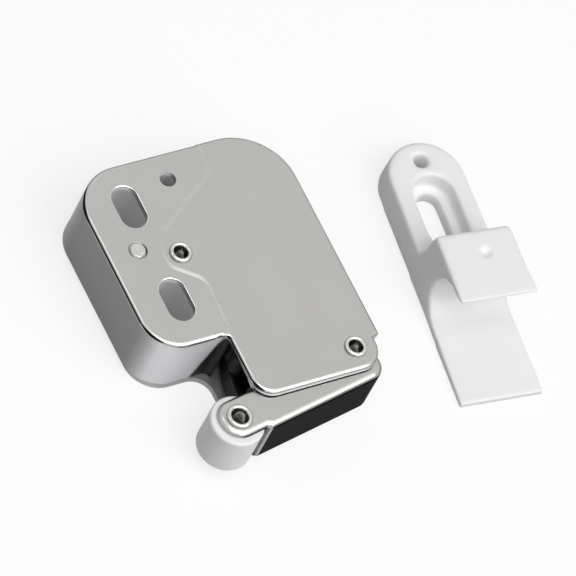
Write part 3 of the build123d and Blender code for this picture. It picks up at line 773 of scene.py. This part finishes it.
def notched_shell(name, colour, wall, grain):
    """Sheet finish of the front shell, with painted dark reflection in the notch and along the
    left bend.

    The painted dark reflection in the notch covers the share of the wall that lies past a slanted
    plane and within a ball round the notch's corner. The rims of the slots get a painted
    highlight where they slope.
    """
    finish = plated_sheet(name, colour, wall, grain)
    # Painted dark reflection on the upright wall in the notch
    past = finish.measured("DOT_PRODUCT", finish.place, NOTCH_SLANT)
    past = finish.spread(past, *NOTCH_EDGE, 0, 1)
    near = finish.measured("DISTANCE", finish.place, NOTCH_CORNER)
    near = finish.spread(near, *NOTCH_REACH, 1, 0)
    upright = finish.spread(finish.facing("Z"), 0.1, 0.5, 1, 0)
    notch_reflection_mask = finish.maths("MULTIPLY", past, near)
    finish.cover(finish.maths("MULTIPLY", notch_reflection_mask, upright), NOTCH_PAINTED_REFLECTION)
    # Painted highlight on the sloping rims of the slots
    across = finish.spread(finish.size_along(finish.place, "X"), *SLOT_RIM_ACROSS, 1, 0)
    along = finish.spread(finish.size_along(finish.place, "Y"), *SLOT_RIM_ALONG, 1, 0)
    at_slots = finish.maths("MULTIPLY", across, along)
    slope = finish.steps(finish.facing("Z"), *RIM_SHOWS)
    finish.cover(finish.maths("MULTIPLY", at_slots, slope), RIM_PAINTED_HIGHLIGHT)
    # Painted dark reflection along the left bend and round the lower left corner, by the
    # direction the surface faces
    for direction, faint, full in PAINTED_DARK_BENDS:
        finish.cover(finish.spread(finish.turned_to(direction), faint, full, 0, 1), BEND_PAINTED_REFLECTION)
    return finish


def matt_zinc(name, colour, metal):
    """Dull zinc plate with soft blotches, which scatters light in all directions."""
    finish = Finish(name)
    finish.set("Metallic", metal)
    blotches = finish.noise(350, 4, 0.6)
    finish.set("Base Color", finish.blend(blotches, shade_of(colour, 0.9), colour))
    finish.set("Roughness", finish.spread(blotches, 0.3, 0.7, 0.45, 0.6))
    finish.bump(finish.noise(3000, 3), 0.004 * MM, 0.4)
    return finish


def rolled_arm(name, colour, wall, web_painted_reflection, grain):
    """Sheet finish of the arm, with a painted dark reflection on its web's outer face and its
    mirror turned down.
    """
    finish = plated_sheet(name, colour, wall, grain, (0.03, 1, 1))
    finish.set("Specular Tint", (0.12, 0.12, 0.12))
    finish.set("Specular IOR Level", 0.02)
    # Painted dark reflection on the outer face of the web
    finish.cover(finish.spread(finish.turned_to(WEB_NORMAL), 0.80, 0.93, 0, 1), web_painted_reflection)
    return finish


def bright_rivet(name, colour, bore_painted_shade=1.0):
    """Bright plated steel of the turned and rolled pieces, with painted shade on upright faces,
    such as the bores, where asked.
    """
    finish = Finish(name)
    finish.set("Metallic", 1.0)
    spots = finish.noise(700, 3)
    face = finish.blend(spots, shade_of(colour, 0.92), colour)
    upright = finish.spread(finish.facing("Z"), 0.1, 0.45, 1, 0)
    finish.set("Base Color", finish.blend(upright, face, shade_of(colour, bore_painted_shade)))
    finish.set("Roughness", finish.spread(spots, 0.3, 0.7, 0.16, 0.26))
    finish.bump(finish.noise(2500, 2), 0.004 * MM, 0.4)
    return finish


def drawn_wire(name, colour):
    """Drawn spring wire, with fine lines along it."""
    finish = Finish(name)
    finish.set("Metallic", 1.0)
    finish.place = finish.node("ShaderNodeUVMap", uv_map="along").outputs["UV"]
    lines = finish.noise(3, 2, stretch=(2, 30, 1))
    finish.set("Base Color", finish.blend(lines, shade_of(colour, 0.7), colour))
    finish.set("Roughness", finish.spread(lines, 0.3, 0.7, 0.25, 0.4))
    finish.bump(lines, 0.004 * MM, 0.5)
    return finish


def moulded_plastic(name, colour, roughness, through, mirror=0.5):
    """Moulded plastic: fine tool texture, faint clouds and some light through it."""
    finish = Finish(name)
    finish.set("Subsurface Weight", through)
    finish.set("Subsurface Radius", (1.0, 0.95, 0.9))
    finish.set("Subsurface Scale", 0.6 * MM)
    finish.set("IOR", 1.49)
    finish.set("Specular IOR Level", mirror)
    cloud = finish.noise(160, 2)
    finish.set("Base Color", finish.blend(cloud, shade_of(colour, 0.97), colour))
    finish.set("Roughness", finish.spread(cloud, 0.3, 0.7, roughness - 0.05, roughness + 0.05))
    finish.bump(finish.noise(6000, 3), 0.006 * MM, 0.25)
    finish.bump(cloud, 0.02 * MM, 0.3)
    return finish


def finish_nodes(material, *nodes):
    """Gives CAD nodes a material of their own kind."""
    for node in nodes:
        slots = frame["nodes"][node].data.materials
        slots.clear()
        slots.append(material)


def tubular_rivet(node, name, body, sizes, bore, shank, material):
    """Semi-tubular rivet: foot flange, straight shank and a head rolled over outwards.

    The outline runs from the middle of the blind bore's rounded bottom up the bore and out
    through a funnel, a quarter of an ellipse, to the crest of the head, down another
    quarter to the head's rim, then down the shank and round the foot flange.
    """
    low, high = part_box(node)
    thickness, edge, bottom_round = sizes.flange_thickness, 0.1 * MM, 0.35 * MM
    flange = (high[0] - low[0]) / 2
    crest = bore + (flange - bore) * 0.5
    funnel = thickness * 1.7
    head, foot = high[2] - thickness, low[2] + thickness
    bottom = high[2] - sizes.bore_depth
    outline = np.concatenate(
        [
            ellipse((PINHOLE, bottom), bore - PINHOLE, bottom_round, 270, 360),
            ellipse((crest, high[2] - funnel), crest - bore, funnel, 180, 90),
            ellipse((crest, head + edge), flange - crest, thickness - edge, 90, 0),
            [(flange - edge / 2, head), (shank, head), (shank, foot), (flange, foot)],
            [(flange, low[2]), (PINHOLE, low[2])],
        ]
    )
    mesh = turned_surface(name, with_support(outline), middle_of(node))
    add_piece(name, mesh, body, material, node)


def riveted_stud(material, sizes, shoulder, plate):
    """Solid stud whose tip is hammered down in the hole of the front plate.

    The outline runs round the foot flange, up the neck through the back plate, up the body
    to the shoulder and up the tip, over a steep chamfer and a rounded edge on to a face
    that is sunk in its middle by a parabola.
    """
    low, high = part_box("spacer_stud")
    top = high[2]
    flange = body = (high[0] - low[0]) / 2
    neck = sizes.rivet_shank
    tip, face, edge, dish = sizes.stud_tip, sizes.stud_face, 0.1 * MM, 0.08 * MM
    foot = low[2] + sizes.flange_thickness
    chamfer_foot, chamfer_top = top - 0.5 * MM, top - 0.12 * MM
    radii = np.linspace(face - edge, PINHOLE, 8)
    sunk_face = np.stack([radii, top - dish * (1 - (radii / radii[0]) ** 2)], -1)
    outline = np.concatenate(
        [
            [(PINHOLE, low[2]), (flange, low[2]), (flange, foot), (neck, foot)],
            [(neck, plate), (body, plate), (body, shoulder), (tip, shoulder)],
            [(tip, chamfer_foot), (face, chamfer_top)],
            arc((face - edge, top - edge), edge, 0, 90, 5),
            sunk_face[1:],
        ]
    )
    mesh = turned_surface("hammered_stud", with_support(outline), middle_of("spacer_stud"))
    add_piece("hammered_stud", mesh, "case", material, "spacer_stud")


class LATCH_OT_roller(bpy.types.Operator):
    """Turns the white roller"""

    bl_idname = "latch.roller"
    bl_label = "Roller"

    def execute(self, context):
        sizes, colours = context.scene.latch_sizes, context.scene.latch_colours
        low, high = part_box("roller")
        radius = (high[0] - low[0]) / 2
        edge, bore = sizes.roller_edge, sizes.roller_bore
        rim = 0.15 * MM
        outline = np.concatenate(
            [
                arc((radius - edge, low[2] + edge), edge, -90, 0),
                arc((radius - edge, high[2] - edge), edge, 0, 90),
                arc((bore + rim, high[2] - rim), rim, 90, 180, 4),
                arc((bore + rim, low[2] + rim), rim, 180, 270, 4),
            ]
        )
        finish = moulded_plastic("roller_white", colours.white_plastic, 0.36, 0.1)
        mesh = turned_surface("roller_drum", with_support(outline), middle_of("roller"), 144)
        add_piece("roller_drum", mesh, "roller", finish.material, "roller")
        return {"FINISHED"}


class LATCH_OT_rivets(bpy.types.Operator):
    """Rolls the rivets of the case and the axle of the roller, and finishes stud and pins"""

    bl_idname = "latch.rivets"
    bl_label = "Rivets and pins"

    def execute(self, context):
        sizes, colours = context.scene.latch_sizes, context.scene.latch_colours
        steel = bright_rivet("bright_steel", colours.bright_steel).material
        # Painted shade: the hollow rivets' upright faces, the bores above all, take half the
        # colour
        shaded_bore_steel = bright_rivet("hollow_steel", colours.bright_steel, 0.5).material
        case_rivet = (sizes, sizes.rivet_bore, sizes.rivet_shank, shaded_bore_steel)
        tubular_rivet("arm_rivet", "arm_rivet_rolled", "case", *case_rivet)
        tubular_rivet("lever_rivet", "lever_rivet_rolled", "case", *case_rivet)
        axle = (sizes, sizes.axle_bore, sizes.axle_shank, shaded_bore_steel)
        tubular_rivet("roller_axle", "roller_axle_rolled", "arm", *axle)
        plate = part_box("back_plate")[1][2]
        riveted_stud(steel, sizes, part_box("front_shell")[1][2] - SHOULDER_DEPTH, plate)
        finish_nodes(steel, "arm_sleeve", "lever_sleeve", "roller_bush")
        finish_nodes(steel, "back_shim", "front_shim", "cam_pin", "follower_pin")
        return {"FINISHED"}


class LATCH_OT_sheet(bpy.types.Operator):
    """Plates the front shell, the back plate and the arm"""

    bl_idname = "latch.sheet"
    bl_label = "Sheet metal"

    def execute(self, context):
        sizes, colours = context.scene.latch_sizes, context.scene.latch_colours
        shell = notched_shell("shell_nickel", colours.nickel, colours.wall, sizes.grain)
        finish_nodes(shell.material, "front_shell")
        sleeves = ("upper_slot_sleeve", "lower_slot_sleeve", "small_hole_sleeve")
        finish_nodes(matt_zinc("sleeve_zinc", colours.zinc, 0.55).material, *sleeves)
        # Painted shade: the back plate takes a darker copy of the zinc, so that it reads dark in
        # the notch
        plate = matt_zinc("plate_zinc", shade_of(colours.zinc, 0.6), 1.0)
        finish_nodes(plate.material, "back_plate")
        arm = rolled_arm("arm_nickel", colours.nickel, colours.wall, colours.web, sizes.grain)
        finish_nodes(arm.material, "arm")
        return {"FINISHED"}


class LATCH_OT_springs(bpy.types.Operator):
    """Winds the two springs"""

    bl_idname = "latch.springs"
    bl_label = "Springs"

    def execute(self, context):
        sizes, colours = context.scene.latch_sizes, context.scene.latch_colours
        steel = drawn_wire("spring_wire", colours.wire).material
        arm_wire, lever_wire = sizes.arm_wire, sizes.lever_wire
        arm_coil = Winding(ARM_PIVOT, sizes.arm_coil, arm_wire, ARM_COIL_FOOT, ARM_COIL_FIRST, -1)
        lever_coil = Winding(
            LEVER_PIVOT, sizes.lever_coil, lever_wire, LEVER_COIL_FOOT, LEVER_COIL_FIRST, 1
        )
        arm_fixed = arm_coil.with_first_leg(ARM_CASE_LEG, ARM_TURNS + ARM_OVERRUN)
        arm_moving = arm_coil.last_leg(ARM_MOVING_LEG, ARM_TURNS)
        lever_fixed = lever_coil.with_first_leg(LEVER_CASE_LEG, LEVER_TURNS + LEVER_OVERRUN)
        lever_moving = lever_coil.last_leg(LEVER_MOVING_LEG, LEVER_TURNS, LEVER_HOOK)
        stretches = (
            ("arm_spring_coil", "case", arm_fixed, arm_wire, "arm_spring"),
            ("arm_spring_leg", "arm", arm_moving, arm_wire, "arm_spring"),
            ("lever_spring_coil", "case", lever_fixed, lever_wire, "lever_spring"),
            ("lever_spring_hook", "follower", lever_moving, lever_wire, "lever_spring"),
        )
        for name, body, (line, outward), wire, node in stretches:
            mesh = wire_surface(name, line, outward, wire / 2)
            add_piece(name, mesh, body, steel, node)
        return {"FINISHED"}


class LATCH_OT_cam(bpy.types.Operator):
    """Finishes the cam block and the follower lever"""

    bl_idname = "latch.cam"
    bl_label = "Cam block and lever"

    def execute(self, context):
        colours = context.scene.latch_colours
        for name, node in (("cam_black", "cam_block"), ("lever_black", "follower_lever")):
            finish = moulded_plastic(name, colours.black_plastic, 0.5, 0.0, 0.2)
            finish_nodes(finish.material, node)
        return {"FINISHED"}


def rounded_keeper(name):
    """Copy of the CAD keeper's mesh with rounder edges.

    The copy is turned square to the axes and rebuilt from small cubes. Then each point goes
    up to half way to the mean of its neighbours, round after round, and by a smaller share
    where the moulding is thin: in the lip and in the tongue. The dimple in the lip's top is
    sunk by (1 - q squared) squared, where q is the distance from its middle in radii.
    """
    copy = bpy.data.objects.new(name, frame["nodes"]["keeper"].data.copy())
    bpy.context.scene.collection.objects.link(copy)
    welded = bmesh.new()
    welded.from_mesh(copy.data)
    bmesh.ops.remove_doubles(welded, verts=welded.verts, dist=0.0001 * MM)
    welded.to_mesh(copy.data)
    welded.free()
    copy.data.transform(Matrix.Rotation(KEEPER_TURN, 4, "Z"))
    cubes = copy.modifiers.new("cubes", "REMESH")
    cubes.mode, cubes.voxel_size, cubes.use_smooth_shade = "VOXEL", KEEPER_CUBE, True
    evaluated = copy.evaluated_get(bpy.context.evaluated_depsgraph_get())
    mesh = bpy.data.meshes.new_from_object(evaluated)
    coarse = copy.data
    bpy.data.objects.remove(copy)
    bpy.data.meshes.remove(coarse)

    count = len(mesh.vertices)
    flat = np.empty(count * 3)
    mesh.vertices.foreach_get("co", flat)
    points = flat.reshape(-1, 3)
    ends = np.empty(len(mesh.edges) * 2, dtype=np.int32)
    mesh.edges.foreach_get("vertices", ends)
    first, second = ends[::2], ends[1::2]
    neighbours = np.bincount(ends, minlength=count)[:, None]
    length, height = points[:, 1] - points[:, 1].min(), points[:, 2].copy()
    middle = (points[:, 0].min() + points[:, 0].max()) / 2
    lip = np.clip((height - LIP_FOOT) / MM, 0, 1)
    lip *= np.clip((LIP_END - length) / LIP_FADE, 0, 1)
    tongue = np.clip((TONGUE_TOP - height) / MM, 0, 1)
    tongue *= np.clip((TONGUE_END - length) / TONGUE_FADE, 0, 1)
    share = 0.5 * (1 - THIN_HOLD * np.maximum(lip, tongue))[:, None]
    for _ in range(KEEPER_ROUNDS):
        total = [
            np.bincount(first, axis[second], count) + np.bincount(second, axis[first], count)
            for axis in points.T
        ]
        points += share * (np.stack(total, -1) / neighbours - points)
    reach = np.hypot(points[:, 0] - middle - DIMPLE_SIDE, length - DIMPLE_PLACE) / DIMPLE_RADIUS
    bowl = np.clip(1 - reach**2, 0, 1) ** 2
    points[:, 2] -= DIMPLE_DEPTH * bowl * (height > points[:, 2].max() - DIMPLE_BAND)
    mesh.vertices.foreach_set("co", points.ravel())
    mesh.transform(Matrix.Rotation(-KEEPER_TURN, 4, "Z"))
    mesh.update()
    mesh.name = name
    return mesh


class LATCH_OT_keeper(bpy.types.Operator):
    """Rounds the moulded keeper's edges and finishes it"""

    bl_idname = "latch.keeper"
    bl_label = "Keeper"

    def execute(self, context):
        colours = context.scene.latch_colours
        finish = moulded_plastic("keeper_white", colours.white_plastic, 0.4, 0.1)
        mesh = rounded_keeper("keeper_moulded")
        mesh.materials.clear()
        add_piece("keeper_moulded", mesh, "case", finish.material, "keeper")
        return {"FINISHED"}


def soft_lamp(name, aim, direction, distance, size, power):
    """Square area lamp in a direction from the point that it faces."""
    data = bpy.data.lights.new(name, "AREA")
    data.shape, data.size, data.energy = "SQUARE", size, power
    lamp = bpy.data.objects.new(name, data)
    away = Vector(direction).normalized()
    lamp.location = aim + away * distance
    lamp.rotation_mode = "QUATERNION"
    lamp.rotation_quaternion = away.to_track_quat("Z", "Y")
    bpy.context.scene.collection.objects.link(lamp)


def seen_directly(nodes):
    """1 for rays from the camera and for those seen in gloss or through glass."""
    path = nodes.node("ShaderNodeLightPath")
    seen = nodes.maths("MAXIMUM", path.outputs["Is Camera Ray"], path.outputs["Is Glossy Ray"])
    return nodes.maths("MAXIMUM", seen, path.outputs["Is Transmission Ray"])


def floor_material(studio):
    """Pale floor that is seen white and keeps the object's shadow."""
    material = bpy.data.materials.new("pale_floor")
    material.use_nodes = True
    nodes = Nodes(material.node_tree)
    nodes.tree.nodes.remove(nodes.tree.nodes["Principled BSDF"])
    seen = seen_directly(nodes)
    colour = nodes.blend(seen, studio.floor_colour, (1, 1, 1))
    diffuse = nodes.node("ShaderNodeBsdfDiffuse", {"Color": colour}).outputs[0]
    glow = nodes.node("ShaderNodeEmission", {"Color": (1, 1, 1)}).outputs[0]
    mirrored = nodes.maths("MULTIPLY", seen, studio.mirrored_glow)
    by_camera = nodes.node("ShaderNodeLightPath").outputs["Is Camera Ray"]
    more = studio.floor_glow - studio.mirrored_glow
    share = nodes.maths("MULTIPLY_ADD", by_camera, more, mirrored)
    mixed = nodes.node("ShaderNodeMixShader", {0: share, 1: diffuse, 2: glow}).outputs[0]
    nodes.put(mixed, nodes.tree.nodes["Material Output"].inputs["Surface"])
    return material


def dark_cloth(name, mesh):
    """Dark cloth on the stage, unseen by the camera, that the metal mirrors."""
    cloth = Finish(name)
    cloth.set("Base Color", (0.03, 0.03, 0.03))
    cloth.set("Roughness", 0.9)
    mesh.materials.append(cloth.material)
    piece = bpy.data.objects.new(name, mesh)
    piece.visible_camera = False
    bpy.context.scene.collection.objects.link(piece)


def hang_curtain(studio):
    """Low dark curtain round the stage: the band between two level circles."""
    around = np.linspace(0, 2 * pi, 96, endpoint=False)
    circle = studio.curtain_distance * np.stack([np.cos(around), np.sin(around)], -1)
    low_edge = np.column_stack([circle, np.zeros_like(around)])
    high_edge = np.column_stack([circle, np.full_like(around, studio.curtain_height)])
    edges = np.stack([low_edge, high_edge])
    dark_cloth("curtain", mesh_from_grid("curtain", edges, False, True))


def hang_card(studio, aim):
    """Square dark card a metre overhead, square to the line from the part to it."""
    away = Vector(CARD_DIRECTION).normalized()
    side = away.cross(Vector((1, 0, 0))).normalized()
    over = away.cross(side)
    half = studio.card_size / 2
    across, along = np.meshgrid([-half, half], [-half, half], indexing="ij")
    sideways, lengthways = across[..., None] * np.array(side), along[..., None] * np.array(over)
    points = np.array(aim + away) + sideways + lengthways
    dark_cloth("card", mesh_from_grid("card", points, False, False))


class LATCH_OT_stage(bpy.types.Operator):
    """Lays the floor, hangs the lamps and sets the camera"""

    bl_idname = "latch.stage"
    bl_label = "Stage"

    def execute(self, context):
        scene = context.scene
        studio = scene.latch_studio
        half = studio.floor_size / 2
        mesh = bpy.data.meshes.new("floor")
        corners = [(-half, -half, 0), (half, -half, 0), (half, half, 0), (-half, half, 0)]
        mesh.from_pydata(corners, [], [(0, 1, 2, 3)])
        mesh.materials.append(floor_material(studio))
        floor = bpy.data.objects.new("floor", mesh)
        floor.location.z = -FLOOR_DEPTH
        scene.collection.objects.link(floor)

        middle = (cad_box[0] + cad_box[1]) / 2
        hang_curtain(studio)
        hang_card(studio, middle)

        world = bpy.data.worlds.new("room")
        world.use_nodes = True
        nodes = Nodes(world.node_tree)
        background = nodes.tree.nodes["Background"].inputs
        strength = nodes.spread(seen_directly(nodes), 0, 1, studio.room_light, 1)
        nodes.put((1, 1, 1), background["Color"])
        nodes.put(strength, background["Strength"])
        scene.world = world

        for name, direction, away, side in LAMPS:
            soft_lamp(name, middle, direction, away, side, getattr(studio, name))

        data = bpy.data.cameras.new("camera")
        data.lens, data.sensor_width = studio.lens, SENSOR
        camera = bpy.data.objects.new("camera", data)
        distance = PICTURE_WIDTH * studio.lens / SENSOR
        data.clip_start, data.clip_end = distance * 0.1, distance * 10
        turn = Matrix((CAMERA_RIGHT, CAMERA_UP, CAMERA_BACK)).transposed().to_4x4()
        camera.matrix_world = Matrix.Translation(CAMERA_TARGET + CAMERA_BACK * distance) @ turn
        scene.collection.objects.link(camera)
        scene.camera = camera
        scene.view_settings.view_transform = "Standard"
        return {"FINISHED"}


STEPS = (
    LATCH_OT_stage,
    LATCH_OT_sheet,
    LATCH_OT_rivets,
    LATCH_OT_roller,
    LATCH_OT_springs,
    LATCH_OT_cam,
    LATCH_OT_keeper,
)


class LATCH_PT_panel(bpy.types.Panel):
    """Sidebar panel that lists the steps and the settings"""

    bl_label = "Touch latch"
    bl_idname = "LATCH_PT_panel"
    bl_space_type = "VIEW_3D"
    bl_region_type = "UI"
    bl_category = "Latch"

    def draw(self, context):
        for step in STEPS:
            self.layout.operator(step.bl_idname)
        scene = context.scene
        for group in (scene.latch_sizes, scene.latch_colours, scene.latch_studio):
            box = self.layout.box()
            for name in group.__annotations__:
                box.prop(group, name)


CLASSES = (LatchSizes, LatchColours, LatchStudio, *STEPS, LATCH_PT_panel)


def register():
    for kind in CLASSES:
        bpy.utils.register_class(kind)
    bpy.types.Scene.latch_sizes = bpy.props.PointerProperty(type=LatchSizes)
    bpy.types.Scene.latch_colours = bpy.props.PointerProperty(type=LatchColours)
    bpy.types.Scene.latch_studio = bpy.props.PointerProperty(type=LatchStudio)


def unregister():
    del bpy.types.Scene.latch_studio
    del bpy.types.Scene.latch_colours
    del bpy.types.Scene.latch_sizes
    for kind in reversed(CLASSES):
        bpy.utils.unregister_class(kind)


def main():
    """Builds everything."""
    register()
    for step in STEPS:
        category, name = step.bl_idname.split(".")
        if "FINISHED" not in getattr(getattr(bpy.ops, category), name)():
            raise RuntimeError(f"{step.bl_label} did not finish")


if __name__ == "__main__":
    main()
